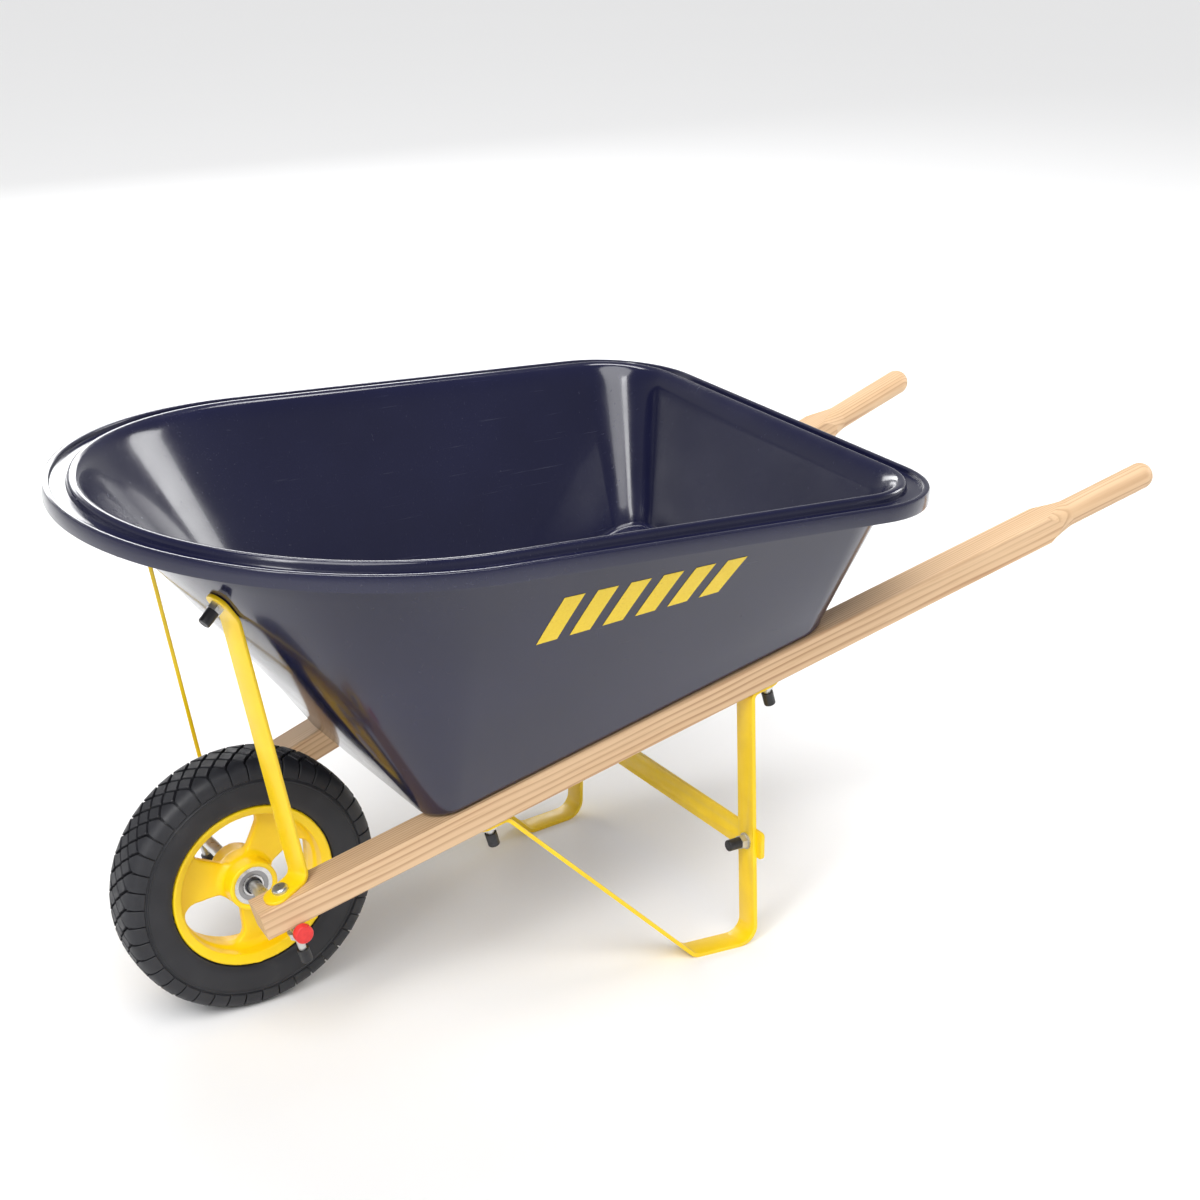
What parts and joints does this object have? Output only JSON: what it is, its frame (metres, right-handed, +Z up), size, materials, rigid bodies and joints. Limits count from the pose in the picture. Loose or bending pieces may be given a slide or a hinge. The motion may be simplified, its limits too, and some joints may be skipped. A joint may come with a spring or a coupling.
{
  "type": "wheelbarrow",
  "caption": "Small one-wheeled barrow: a moulded tray on two splayed wooden rails with turned grips, bent strap legs, front braces and a ball-bearing wheel.",
  "frame": {"origin": "on the floor under the middle of the overall length, midway between the rails", "axes": "+X from the wheel back towards the grips, +Y to the right rail as the pusher sees it, +Z up"},
  "size_m": [0.8445, 0.446, 0.4085],
  "materials": {
    "tray_plastic": "glossy navy",
    "rail_wood": "pale sanded ash, sealed",
    "yellow_paint": "yellow powder coat",
    "yellow_plastic": "moulded yellow plastic",
    "tyre_rubber": "black rubber",
    "bright_steel": "zinc plated",
    "bearing_steel": "ground bearing steel",
    "black_cap": "black push cap",
    "red_cap": "red push cap",
    "clip_steel": "blackened spring steel",
    "cage_polymer": "moulded cage"
  },
  "bodies": {
    "frame": {"tray": "tray_plastic", "axle": "bright_steel", "hub_tube": "bright_steel", "leg_cross_brace": "yellow_paint", "axle_clips": "clip_steel", "rail_left": "rail_wood", "leg_left": "yellow_paint", "front_brace_left": "yellow_paint", "axle_cap_left": "red_cap", "bearing_inner_race_left": "bearing_steel", "rail_right": "rail_wood", "leg_right": "yellow_paint", "front_brace_right": "yellow_paint", "axle_cap_right": "red_cap", "bearing_inner_race_right": "bearing_steel", "axle_bolts": "bright_steel", "axle_bolt_nuts": "bright_steel", "axle_bolt_washers": "bright_steel", "axle_bolt_caps": "black_cap", "leg_bolts": "bright_steel", "leg_bolt_nuts": "bright_steel", "leg_bolt_washers": "bright_steel", "leg_bolt_caps": "black_cap", "brace_bolts": "bright_steel", "brace_bolt_nuts": "bright_steel", "brace_bolt_washers": "bright_steel", "brace_bolt_caps": "black_cap", "cross_bolts": "bright_steel", "cross_bolt_nuts": "bright_steel", "cross_bolt_washers": "bright_steel", "cross_bolt_caps": "black_cap"},
    "wheel": {"wheel": "yellow_plastic", "tyre": "tyre_rubber", "bearing_outer_race_left": "bearing_steel", "bearing_outer_race_right": "bearing_steel", "bearing_shields_left": "bearing_steel", "bearing_shields_right": "bearing_steel"},
    "ball_set_left": {"bearing_balls_left": "bearing_steel", "bearing_cage_left": "cage_polymer"},
    "ball_set_right": {"bearing_balls_right": "bearing_steel", "bearing_cage_right": "cage_polymer"}
  },
  "joints": [
    {"name": "wheel_spin", "type": "hinge", "parent": "frame", "child": "wheel", "pos_m": [-0.30881, 0, 0.1], "axis": [0, 1, 0], "continuous": true},
    {"name": "ball_spin_left", "type": "hinge", "parent": "frame", "child": "ball_set_left", "pos_m": [-0.30881, 0, 0.1], "axis": [0, 1, 0], "continuous": true},
    {"name": "ball_spin_right", "type": "hinge", "parent": "frame", "child": "ball_set_right", "pos_m": [-0.30881, 0, 0.1], "axis": [0, 1, 0], "continuous": true}
  ],
  "couplings": [
    {"joint": "ball_spin_left", "follows": "wheel_spin", "ratio": 0.61},
    {"joint": "ball_spin_right", "follows": "wheel_spin", "ratio": 0.61}
  ]
}
